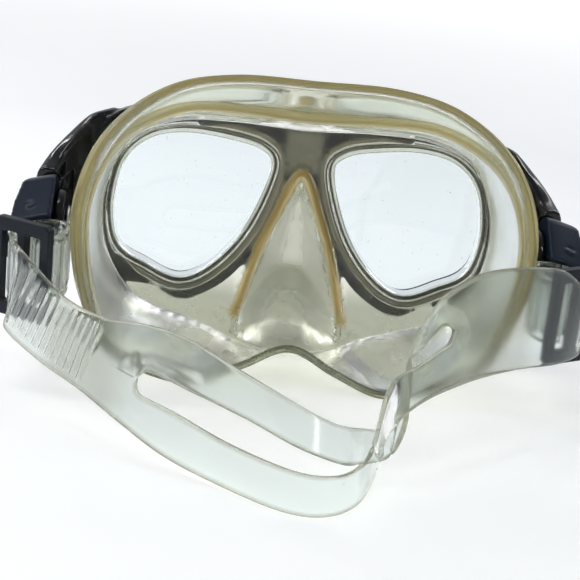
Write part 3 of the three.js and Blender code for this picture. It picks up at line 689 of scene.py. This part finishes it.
# left run, fold and right run: upper edge, the two edges of the slot where it is open, lower edge
HEAD_ROWS = [
    ((-93.4, -65.2, -22.5), (-94.4, -65.8, -45)),
    ((-87.8, -67.6, -27), (-95.6, -70, -49.5)),
    ((-76, -76, -35), (-83.5, -79, -56)),
    ((-62, -88, -36.5), (-68.5, -92, -60)),
    ((-51, -97, -34), (-49.2, -100, -47.4), (-52.2, -100.6, -55), (-56, -102, -65)),
    ((-37, -106, -34), (-35, -109, -50), (-38, -109, -58), (-41, -111, -71.5)),
    ((-20, -117, -39), (-16, -122, -53), (-21, -121, -61.5), (-24, -121, -75)),
    ((-5, -126, -43.5), (-1, -133, -56), (-3, -135, -62), (-5, -135, -75.55)),
    ((9, -126, -50), (12, -131, -61), (9, -135, -63), (8, -137, -75.55)),
    ((20, -112, -57), (18.5, -122, -64.5), (17.5, -124, -65), (18.5, -127, -75.55)),
    ((31, -99, -61.5), (28.5, -109, -67.5), (22.5, -116, -62), (25, -110, -73)),
    ((35, -94, -55), (33.5, -104, -59.5), (24, -115, -54), (26.5, -108, -65)),
    ((35, -92.5, -40), (33.3, -103, -45), (25.5, -113, -46), (28.5, -108.5, -58)),
    ((36, -92, -32), (33, -102, -37.5), (29, -108, -41), (32, -109.5, -53)),
    ((38.5, -93, -24.5), (37.5, -100, -33), (37, -103, -37), (40, -105, -48.5)),
    ((43, -94.5, -17), (45, -96.6, -25.4), (46.6, -97.6, -31.4), (49, -99, -46)),
    ((53, -88.5, -12), (58, -92, -45)),
    ((67, -80, -11), (71, -83, -44.5)),
    ((83.5, -71.6, -13), (85.5, -74, -45)),
    ((93.4, -65.2, -20.5), (94, -65.8, -44.5)),
]
STRAP_THICK = 1.8
STRAP_STEP = 0.85
LADDER_STEP = 0.34
BAND_COLUMNS = 14
RIB_PITCH = 3.0
RIB_HIGH = 0.6
RIB_MARGIN = 2.6
LADDER_THIN = 0.7     # how much thinner the strap is between the ribs
PAD_HIGH = 0.225      # reinforced place round each end of the slot
PAD_REACH, PAD_LENGTH = 6.0, 24.0
EDGE_ROUND = 0.5
GREYED_RIGHT, GREYED_LEFT = 0.42, 0.42    # how much darker grey-green the wide parts of the strap are painted


def strap_edges():
    rows = [((-x, y, high), (-x, y, low)) for x, y, high, low in LADDER_END]
    rows += HEAD_ROWS
    rows += [((x, y, high), (x, y, low)) for x, y, high, low in LADDER_END[::-1]]
    first = next(i for i, row in enumerate(rows) if len(row) == 4)
    last = max(i for i, row in enumerate(rows) if len(row) == 4)
    full = []
    for row in rows:
        row = np.array(row, float)
        upper, lower = row[0], row[-1]
        slot = row[1:3] if len(row) == 4 else [upper * 0.6 + lower * 0.4, upper * 0.4 + lower * 0.6]
        full.append([upper, *slot, lower])
    return np.array(full).reshape(len(full), 12), first, last


def strap_shape():
    table_rows, first, last = strap_edges()
    dense = catmull(table_rows, False, 4000).reshape(-1, 4, 3)
    position = np.linspace(0, len(table_rows) - 1, len(dense))
    centre = dense.mean(1)
    length = np.concatenate([[0], np.cumsum(np.linalg.norm(np.diff(centre, axis=0), axis=1))])
    ladder_left = np.interp(len(LADDER_END) + 3.0, position, length)
    ladder_right = np.interp(len(LADDER_END) + len(HEAD_ROWS) - 0.6, position, length)
    s = np.concatenate([np.linspace(a, b, int((b - a) / step), endpoint=last_part) for a, b, step, last_part in (
        (0, ladder_left, LADDER_STEP, False), (ladder_left, ladder_right, STRAP_STEP, False),
        (ladder_right, length[-1], LADDER_STEP, True))])
    lines = np.stack([np.stack([np.interp(s, length, dense[:, e, k]) for k in range(3)], 1)
                      for e in range(4)], 1)
    slot_from = np.interp(first, position, length)
    slot_to = np.interp(last, position, length)
    return s, lines, (slot_from, slot_to), (ladder_left, ladder_right)


def strap():
    s, lines, (slot_from, slot_to), (ladder_left, ladder_right) = strap_shape()
    upper, slot_a, slot_b, lower = (lines[:, k] for k in range(4))
    # the slot has round ends
    gap, middle = slot_b - slot_a, (slot_a + slot_b) / 2
    depth = np.minimum(s - slot_from, slot_to - s)
    open_share = round_off(depth, np.maximum(np.linalg.norm(gap, axis=1) / 2, 2.0))
    open_share[depth <= 0] = 0
    slot_a = middle - gap / 2 * open_share[:, None]
    slot_b = middle + gap / 2 * open_share[:, None]
    along = np.gradient(lines.mean(1), s, axis=0)
    along /= np.linalg.norm(along, axis=1)[:, None]
    normal = np.cross(along, lower - upper)
    normal /= np.linalg.norm(normal, axis=1)[:, None]
    in_ladder = np.where((s < ladder_left) | (s > ladder_right), 1.0, 0)
    phase = np.where(s < ladder_left, ladder_left - s, s - ladder_right) / RIB_PITCH
    bar = smoothstep(0.33, 0.21, np.abs((phase % 1) - 0.5))
    n = BAND_COLUMNS
    shares = 0.5 - 0.5 * np.cos(np.linspace(0, math.pi, n))
    verts, ages, ribs = [], [], []
    # thickness: ribs of the ladder, reinforced places, thin rounded edges
    for face in (1, -1):
        for outer, inner_edge, shares_here in ((upper, slot_a, shares), (lower, slot_b, 1 - shares)):
            for share in shares_here:
                here = outer * (1 - share) + inner_edge * share
                edge = np.minimum(np.linalg.norm(here - upper, axis=1), np.linalg.norm(here - lower, axis=1))
                inner = np.where(open_share > 0, np.linalg.norm(here - inner_edge, axis=1), 99)
                rim = np.minimum(edge, inner)
                half = STRAP_THICK / 2 - EDGE_ROUND * (1 - round_off(rim, EDGE_ROUND))
                rib = bar * smoothstep(RIB_MARGIN - 0.3, RIB_MARGIN + 0.3, edge) * in_ladder
                past_slot = np.hypot(np.minimum(depth, 0), np.linalg.norm(here - middle, axis=1))
                pad = 1 - smoothstep(PAD_REACH - 0.4, PAD_REACH + 0.4, np.where(depth > 0, inner, past_slot))
                pad *= 1 - smoothstep(PAD_LENGTH - 2, PAD_LENGTH, depth)
                thin = LADDER_THIN / 2 * in_ladder * smoothstep(RIB_MARGIN - 1, RIB_MARGIN + 0.3, edge)
                verts.append(here + normal * face * (half - thin + RIB_HIGH * rib + PAD_HIGH * pad)[:, None])
                ages.append(0.75 * (1 - smoothstep(0.2, 1.3, rim)))
                ribs.append(0.8 * rib)
    points = np.array(verts).transpose(1, 0, 2).reshape(-1, 3)      # station by station
    tone, bars = (np.array(values).T.reshape(-1) for values in (ages, ribs))

    def point(i, face, b, j):
        return i * 4 * n + (0 if face > 0 else 2 * n) + b * n + j

    def edge_face(i, b, j):
        return point(i, 1, b, j), point(i, -1, b, j), point(i + 1, -1, b, j), point(i + 1, 1, b, j)

    faces = []
    for b in range(2):
        for j in range(n - 1):
            faces += [(point(i, face, b, j), point(i + 1, face, b, j), point(i + 1, face, b, j + 1),
                       point(i, face, b, j + 1)) for i in range(len(s) - 1) for face in (1, -1)]
            for i in (0, len(s) - 1):
                faces.append((point(i, 1, b, j), point(i, 1, b, j + 1), point(i, -1, b, j + 1), point(i, -1, b, j)))
    for i in range(len(s) - 1):
        faces += [edge_face(i, 0, 0), edge_face(i, 1, n - 1)]
        if open_share[i] > 0 or open_share[i + 1] > 0:
            faces += [edge_face(i, 0, n - 1), edge_face(i, 1, 0)]
    obj = new_object("head_strap", points, faces)
    store(obj, "aged", tone)
    store(obj, "rib", bars)
    store(obj, "matte", np.full(len(tone), 0.14))
    x, z = points[:, 0], points[:, 2]
    # the wide parts of the strap are painted darker grey-green, the right run more so towards its upper edge
    greyed_right = (GREYED_RIGHT + 0.25 * smoothstep(-38, -28, z)) * smoothstep(30, 45, x) * smoothstep(80, 70, x)
    store(obj, "dull", greyed_right + GREYED_LEFT * smoothstep(-50, -62, x) * smoothstep(-86, -76, x))
    return outward(obj, 0.00002)


# ---------- frame, lenses, bezels ----------
def radial(loop, angles, centre=EYE_CENTRE):
    """Where rays from the centre cross a closed loop."""
    centre = np.array(centre)
    line = ring(loop) - centre
    out = []
    for angle in angles:
        d = np.array([math.cos(angle), math.sin(angle)])
        best = None
        cross = line[:, 0] * d[1] - line[:, 1] * d[0]
        for k in np.nonzero(np.sign(cross[:-1]) != np.sign(cross[1:]))[0]:
            t = cross[k] / (cross[k] - cross[k + 1])
            point = line[k] * (1 - t) + line[k + 1] * t
            reach = point @ d
            if reach > 0 and (best is None or reach > best):
                best = reach
        out.append(centre + d * best)
    return np.array(out)


def ring_of(inner_loop, outer_loop, profile, name, steps=200):
    """A ring between two loops. The profile is (share from inner to outer, fixed offset, level y)."""
    angles = np.linspace(0, 2 * math.pi, steps, endpoint=False)
    a, b = radial(inner_loop, angles), radial(outer_loop, angles)
    across = (b - a) / np.linalg.norm(b - a, axis=1)[:, None]
    verts = []
    for i in range(steps):
        for share, offset, level in profile:
            x, z = a[i] * (1 - share) + b[i] * share + across[i] * offset
            verts.append((x, level, z))
    return outward(new_object(name, verts, skin((steps, len(profile)), True, True)))


ARM = [((70, 1, 13), -20, 6), ((74, -1.6, 12), -22, 6), ((79.6, -3.6, 9.4), -25, 6.4), ((85, -8.8, 4.5), -28.5, 7),
       ((90.5, -15, -1.5), -32, 7.8), ((93.6, -22, -6), -34, 8.4)]
ARM_SECTION = [(-0.5, 0.04), (-0.3, 0), (0.3, 0), (0.5, 0.08), (0.5, 0.6), (0.22, 0.68),
               (0.22, 0.8), (0.5, 0.86), (0.36, 0.97), (0.1, 1), (-0.36, 1), (-0.5, 0.94)]
PIVOT = (-33, -20)    # y, z
EAR, EAR_R = (81.2, 84.6), 9.5


def eye_loops():
    eye = even(catmull(EYE, True, 500), True, 260)
    rim = even(catmull(RIM_OUT, True, 500), True, 300)
    return eye, rim


def arm():
    stations = catmull([(*top, low, thick) for top, low, thick in ARM], False, 40)
    verts = []
    for i, row in enumerate(stations):
        before, after = stations[max(i - 1, 0)], stations[min(i + 1, len(stations) - 1)]
        out = np.array([before[1] - after[1], after[0] - before[0]])
        out /= np.linalg.norm(out)
        for across, up in ARM_SECTION:
            inset = (across - 0.5) * row[4]
            verts.append((row[0] + inset * out[0], row[1] + inset * out[1], row[3] * (1 - up) + row[2] * up))
    size = len(ARM_SECTION)
    faces = skin((len(stations), size), False, True)
    faces += [tuple(range(size)), tuple(range((len(stations) - 1) * size, len(stations) * size))]
    return outward(new_object("arm", verts, faces))


def prism(points, axis, low, high, name):
    """A flat outline pushed between two levels of one axis; the outline is in the other two, in order."""
    others = [k for k in range(3) if k != axis]
    verts = []
    for level in (low, high):
        for p in points:
            v = [0, 0, 0]
            v[axis] = level
            v[others[0]], v[others[1]] = p
            verts.append(v)
    n = len(points)
    faces = [(i, (i + 1) % n, n + (i + 1) % n, n + i) for i in range(n)]
    faces += [tuple(range(n)), tuple(range(n, 2 * n))]
    return outward(new_object(name, verts, faces))


def cut(obj, tool):
    boolean = obj.modifiers.new("cut", "BOOLEAN")
    boolean.operation = "DIFFERENCE"
    boolean.solver = "EXACT"
    boolean.object = tool
    apply_modifiers(obj)
    bpy.data.objects.remove(tool)
    return obj


def disc_points(radius, y, z, low=0, high=360, steps=64):
    angles = [math.radians(low + (high - low) * k / steps) for k in range(steps + (1 if high - low < 360 else 0))]
    return [(y + radius * math.cos(a), z + radius * math.sin(a)) for a in angles]


def frame_moulding():
    eye, rim = eye_loops()
    inner = offset_loop(eye, COLLAR_WALL + 0.35)
    seat = 4.55 - COLLAR_WALL - 0.35
    profile = [(0, 0, -5.35), (0, 0, -7.6), (0, 0.4, -8), (0, 2.2, -8), (0, 2.9, -6.7), (1, -1.7, -6.7),
               (1, -1.1, -8), (1, -0.5, -8), (1, 0, -7.5), (1, 0, -2.4),
               (1, -1.1, -1.2), (0, seat, -1.2), (0, seat, -5.35)]
    right = [ring_of(inner, rim, profile, "rim")]
    side_arm = cut(arm(), prism(disc_points(14.6, *PIVOT), 0, EAR[1], 110, "clearance"))
    seat_hole = [tuple(p) for p in offset_loop(eye, 4.9)]
    right.append(cut(side_arm, prism(seat_hole, 1, -20, 20, "lens_hole")))
    ear = disc_points(EAR_R, *PIVOT, 60, 300) + [(-12, -31), (-12, -7)]
    right.append(prism(ear, 0, *EAR, "ear"))
    left = [mirrored(obj, obj.name + "_twin") for obj in right]
    bridge = prism([(-9, -7), (9, -7), (9, 13), (-9, 13)], 1, -8, -1.2, "bridge")
    pad = prism([(-4.6, -5), (4.6, -5), (4.6, 6), (-4.6, 6)], 1, -2.2, 0, "pad")
    whole = join("frame_moulding", right + left + [bridge, pad])
    return moulded(whole, 0.55, 7)


def lens(side):
    eye, _ = eye_loops()
    loop = offset_loop(eye, 4.2)
    steps = []
    for out, level in [(-0.35, -1.4), (0, -1.7), (0, -4.9), (-0.35, -5.2)]:
        steps.append([(x * side, level, z) for x, z in offset_loop(loop, out)])
    n = len(loop)
    faces = skin((4, n), False, True) + [tuple(range(n)), tuple(range(3 * n, 4 * n))]
    name = "lens_pane_right" if side > 0 else "lens_pane_left"
    return outward(new_object(name, [p for step in steps for p in step], faces, smooth=False))


def bezel(side):
    eye, _ = eye_loops()
    inner, outer = offset_loop(eye, 1.2), offset_loop(eye, 6.6)
    profile = [(0, 0.9, -0.85), (1, -0.1, -0.85), (1, 0, -0.7), (1, 0, 0.4), (1, -0.35, 1.25), (1, -1.2, 1.8),
               (0.5, 0, 1.8), (0, 1.5, 1.55), (0, 0.5, 0.7), (0, 0, -0.2)]
    obj = ring_of(inner, outer, profile, "bezel_ring_right" if side > 0 else "bezel_ring_left")
    return obj if side > 0 else turned_over(obj)


# ---------- turned hardware ----------
PIN_SUNK = 1.6        # how far the pins' ends lie under the caps
ROLLER_HOLE = (92.5, -44, 1.5)                 # right side, x, y and radius
ROLLER_CAPS = [(-13.7, 1.35), (-44.3, 0.85)]   # middle level and half height of each cap
PIN_EDGE = 0.3
HEAD_R, HEAD_HIGH, SHAFT_R = 3.7, 1.25, 2.1     # pivot pin
ROLLER_BORE, ROLLER_FLANGE, KNURL = 1.3, 2, 0.5
# spring: axis (x, y), coil radius, lowest level, rise, turns, share of the wire in each leg, leg length, wire radius
SPRING_X, SPRING_Y, SPRING_R, SPRING_LOW, SPRING_RISE, SPRING_TURNS = 94.8, -34.6, 1.45, -30.25, 2.1, 2
LEG_SHARE, LEG_LONG, WIRE_R = 0.16, 4.2, 0.22


def turned(name, profile, centre, axis, steps=64):
    """A body of revolution. The profile is (radius, place along the axis) and closes on itself."""
    verts = []
    for k in range(steps):
        a = 2 * math.pi * k / steps
        for r, along in profile:
            p = [r * math.cos(a), r * math.sin(a), along]
            p = p[-1:] + p[:-1] if axis == 0 else p
            verts.append([p[m] + centre[m] for m in range(3)])
    return outward(new_object(name, verts, skin((steps, len(profile)), True, True)), 0.00001)


def extent(node):
    low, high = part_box(node)
    return np.array(low) / MM, np.array(high) / MM


def pin(node, name, axis):
    """A plain pin with rounded ends, in the place of a CAD pin."""
    low, high = extent(node)
    centre = (low + high) / 2
    half = (high - low)[axis] / 2 - PIN_SUNK
    radius = (high - low)[(axis + 1) % 3] / 2
    soft = PIN_EDGE
    profile = [(0.0001, -half), (radius - soft, -half), (radius - soft * 0.3, -half + soft * 0.3),
               (radius, -half + soft), (radius, half - soft), (radius - soft * 0.3, half - soft * 0.3),
               (radius - soft, half), (0.0001, half)]
    return turned(name, profile, centre, axis)


def pivot_pin(node, name):
    low, high = extent(node)
    centre = (low + high) / 2
    side = 1 if centre[0] > 0 else -1
    near, far = -(high - low)[0] / 2, (high - low)[0] / 2
    profile = [(0.0001, near), (HEAD_R - 1.2, near), (HEAD_R - 0.3, near + 0.3), (HEAD_R, near + 0.7),
               (HEAD_R, near + HEAD_HIGH), (SHAFT_R, near + HEAD_HIGH), (SHAFT_R, far - 0.4), (SHAFT_R - 0.4, far),
               (0.0001, far)]
    return turned(name, [(r, a * side) for r, a in profile], centre, 0)


def roller(node, name):
    low, high = extent(node)
    centre = (low + high) / 2
    half = (high - low)[2] / 2
    r, bore, flange = (high - low)[0] / 2, ROLLER_BORE, ROLLER_FLANGE
    profile = [(bore, -half), (r - 0.2, -half), (r, -half + 0.2), (r, -half + 1.2), (r - 0.3, -half + flange)]
    profile += [(r - 0.3 + 0.05 * math.sin(k * 1.6), -half + flange + k * KNURL)
                for k in range(1, int((half - flange) * 2 / KNURL))]
    profile += [(r - 0.3, half - flange), (r, half - 1.2), (r, half - 0.2), (r - 0.2, half), (bore, half)]
    return turned(name, profile, centre, 2)


def coil(node, name):
    """The pawl spring, as fine round wire wound on the pawl pin."""
    side = 1 if extent(node)[0][0] > 0 else -1
    points = []
    for t in np.linspace(0, 1, 97):
        share = min(max((t - LEG_SHARE) / (1 - 2 * LEG_SHARE), 0), 1)
        angle = share * SPRING_TURNS * 2 * math.pi
        reach = LEG_LONG * (max(LEG_SHARE - t, 0) + max(t - 1 + LEG_SHARE, 0)) / LEG_SHARE
        way, out = (-1, 0) if t < LEG_SHARE else (0.62, 0.3)
        points.append((side * (SPRING_X - SPRING_R * math.cos(angle) + out * reach),
                       SPRING_Y + SPRING_R * math.sin(angle) + way * reach, SPRING_LOW + SPRING_RISE * share))
    curve = bpy.data.curves.new(name, "CURVE")
    curve.dimensions = "3D"
    curve.bevel_depth = WIRE_R * MM
    curve.bevel_resolution = 3
    curve.use_fill_caps = True
    spline = curve.splines.new("POLY")
    spline.points.add(len(points) - 1)
    for point, place in zip(spline.points, points):
        point.co = (*[v * MM for v in place], 1)
    wire = linked(name + "_wire", curve)
    mesh = bpy.data.meshes.new_from_object(wire.evaluated_get(bpy.context.evaluated_depsgraph_get()))
    bpy.data.objects.remove(wire)
    smooth_shaded(mesh)
    return linked(name, mesh)


def buckle_body(side, word):
    """The CAD body with its pin holes capped, ready to be moulded."""
    parts = [copy_of(f"buckle_body_{word}", "body")]
    x, y, radius = ROLLER_HOLE
    for level, half in ROLLER_CAPS:
        profile = [(0.0001, -half), (radius, -half), (radius, half), (0.0001, half)]
        parts.append(turned("cap", profile, (x * side, y, level), 2, 24))
    return join(f"buckle_{word}", parts)


# outside of a buckle: how far it swells at each y, and how its upper and lower edges fall away
SWELL = [(-49, 0.2), (-42, 1.1), (-34, 0.8), (-27, -0.4), (-21, -1.8), (-17, -2.6)]
EDGE_PULL, EDGE_DROP = 1.4, 2.6
BODY_MIDDLE, BODY_HALF = -30.5, 14.7


def rounded_outside(obj):
    """Gives a buckle body, or the lever in its outer face, the swollen outside of the real moulding."""
    flat = np.empty(len(obj.data.vertices) * 3)
    obj.data.vertices.foreach_get("co", flat)
    p = flat.reshape(-1, 3) / MM
    side, out = np.sign(p[:, 0]), np.abs(p[:, 0])
    level = (p[:, 2] - BODY_MIDDLE) / BODY_HALF
    outer = smoothstep(84.5, 99, out)
    p[:, 0] += side * outer * (table(SWELL, p[:, 1]) - EDGE_PULL * np.minimum(level ** 2, 1) + 0.4)
    p[:, 2] -= np.sign(level) * smoothstep(0.5, 1.05, np.abs(level)) * EDGE_DROP * outer
    obj.data.vertices.foreach_set("co", (p * MM).reshape(-1))
    obj.data.update()
    return obj


# ---------- pieces ----------
finish_piece(skirt(), "frame", "skirt_silicone", "skirt")
finish_piece(strap(), "left_buckle", "strap_silicone", "strap")
finish_piece(frame_moulding(), "frame", "frame_black", "frame_body")
for side, word in ((1, "right"), (-1, "left")):
    buckle = f"{word}_buckle"
    finish_piece(lens(side), "frame", "lens_glass", f"lens_{word}")
    finish_piece(bezel(side), "frame", "frame_black", f"bezel_{word}")
    body = rounded_outside(moulded(buckle_body(side, word), 0.4, 22))
    finish_piece(body, buckle, "buckle_navy", f"buckle_body_{word}")
    slide = moulded(copy_of(f"strap_slide_{word}", f"slide_{word}"), 0.35, 5)
    finish_piece(slide, "left_buckle", "slide_black", f"strap_slide_{word}")
    lever = rounded_outside(moulded(copy_of(f"strap_pawl_{word}", f"pawl_{word}"), 0.22, 3))
    finish_piece(lever, f"{word}_pawl", "buckle_navy", f"strap_pawl_{word}")
    finish_piece(pivot_pin(f"pivot_pin_{word}", f"pivot_{word}"), "frame", "steel", f"pivot_pin_{word}")
    for kind in ("roller", "pawl"):
        finish_piece(pin(f"{kind}_pin_{word}", f"{kind}_axle_{word}", 2), buckle, "steel", f"{kind}_pin_{word}")
    finish_piece(roller(f"strap_roller_{word}", f"roller_{word}"), f"{word}_roller", "roller_nylon",
                 f"strap_roller_{word}")
    finish_piece(coil(f"pawl_spring_{word}", f"spring_{word}"), f"{word}_pawl", "steel", f"pawl_spring_{word}")


# ---------- floor, light and camera ----------
FLOOR_HALF = 6000


def stage():
    corners = [(x * FLOOR_HALF, y * FLOOR_HALF, FLOOR_Z - 0.05) for x, y in ((-1, -1), (1, -1), (1, 1), (-1, 1))]
    floor = new_object("floor", corners, [(0, 1, 2, 3)])
    tree, body = shader("floor_paper")
    body.inputs["Roughness"].default_value = 0.85
    body.inputs["Emission Color"].default_value = (1, 1, 1, 1)
    place = add(tree, "ShaderNodeTexCoord")
    parts = add(tree, "ShaderNodeSeparateXYZ")
    tree.links.new(place.outputs["Object"], parts.inputs[0])
    near = spread(tree, parts.outputs["Y"], -0.42, -0.2, 0.0, 0.2)
    away = add(tree, "ShaderNodeVectorMath", operation="LENGTH")
    tree.links.new(place.outputs["Object"], away.inputs[0])
    far = spread(tree, away.outputs["Value"], 0.45, 1.5, 0.0, 0.62)
    tree.links.new(combined(tree, "ADD", near, far), body.inputs["Emission Strength"])
    grain = spread(tree, noise_of(tree, 30, 4), 0.3, 0.7, 0.0, 1.0)
    tree.links.new(mixed(tree, grain, (0.86, 0.865, 0.87, 1), (0.84, 0.845, 0.85, 1)), body.inputs["Base Color"])
    floor.data.materials.append(MATERIALS["floor_paper"])


def lamp(name, place, target, size, power, colour=(1, 1, 1)):
    light = bpy.data.lights.new(name, "AREA")
    light.shape = "RECTANGLE"
    light.size, light.size_y = (v * MM for v in size)
    light.energy = power
    light.color = colour
    obj = bpy.data.objects.new(name, light)
    obj.location = Vector(place) * MM
    obj.rotation_euler = (Vector(target) - Vector(place)).to_track_quat("-Z", "Y").to_euler()
    bpy.context.scene.collection.objects.link(obj)


def studio():
    lamp("key", (-420, -250, 1000), (0, -50, -20), (360, 360), 2.4)
    lamp("strip", (-700, -160, 420), (-60, -40, -10), (26, 620), 1.6)
    lamp("strip_high", (-520, 330, 300), (-80, -20, -10), (20, 420), 1.0)
    lamp("rim", (650, 420, 520), (0, -50, -20), (60, 600), 1.2)
    lamp("window", (420, -620, 520), (30, -90, -30), (50, 420), 1.0)
    world = bpy.data.worlds.new("studio")
    world.use_nodes = True
    tree = world.node_tree
    place = add(tree, "ShaderNodeTexCoord")
    parts = add(tree, "ShaderNodeSeparateXYZ")
    tree.links.new(place.outputs["Generated"], parts.inputs[0])
    ahead = spread(tree, parts.outputs["Y"], -0.1, 0.7, 0.0, 1.0)
    tree.links.new(mixed(tree, ahead, (0.24, 0.255, 0.28, 1), (0.78, 0.8, 0.82, 1)),
                   tree.nodes["Background"].inputs["Color"])
    bpy.context.scene.world = world
    bpy.context.scene.view_settings.view_transform = "Standard"


CAMERA = {"place": (-36.7, -534.5, 123.2), "azimuth": -4, "elevation": 18, "roll": 6, "lens": 93.1}


def camera():
    azimuth, elevation, roll = (math.radians(CAMERA[k]) for k in ("azimuth", "elevation", "roll"))
    back = Vector((math.sin(azimuth) * math.cos(elevation), -math.cos(azimuth) * math.cos(elevation),
                   math.sin(elevation)))
    right = (-back).cross(Vector((0, 0, 1))).normalized()
    up = right.cross(-back)
    turned_right = right * math.cos(roll) + up * math.sin(roll)
    turned_up = up * math.cos(roll) - right * math.sin(roll)
    data = bpy.data.cameras.new("camera")
    data.sensor_width = 36
    data.lens = CAMERA["lens"]
    obj = bpy.data.objects.new("camera", data)
    axes = Matrix((turned_right, turned_up, back)).transposed().to_4x4()
    obj.matrix_world = Matrix.Translation(Vector(CAMERA["place"]) * MM) @ axes
    bpy.context.scene.collection.objects.link(obj)
    bpy.context.scene.camera = obj


stage()
studio()
camera()

bpy.context.view_layer.update()
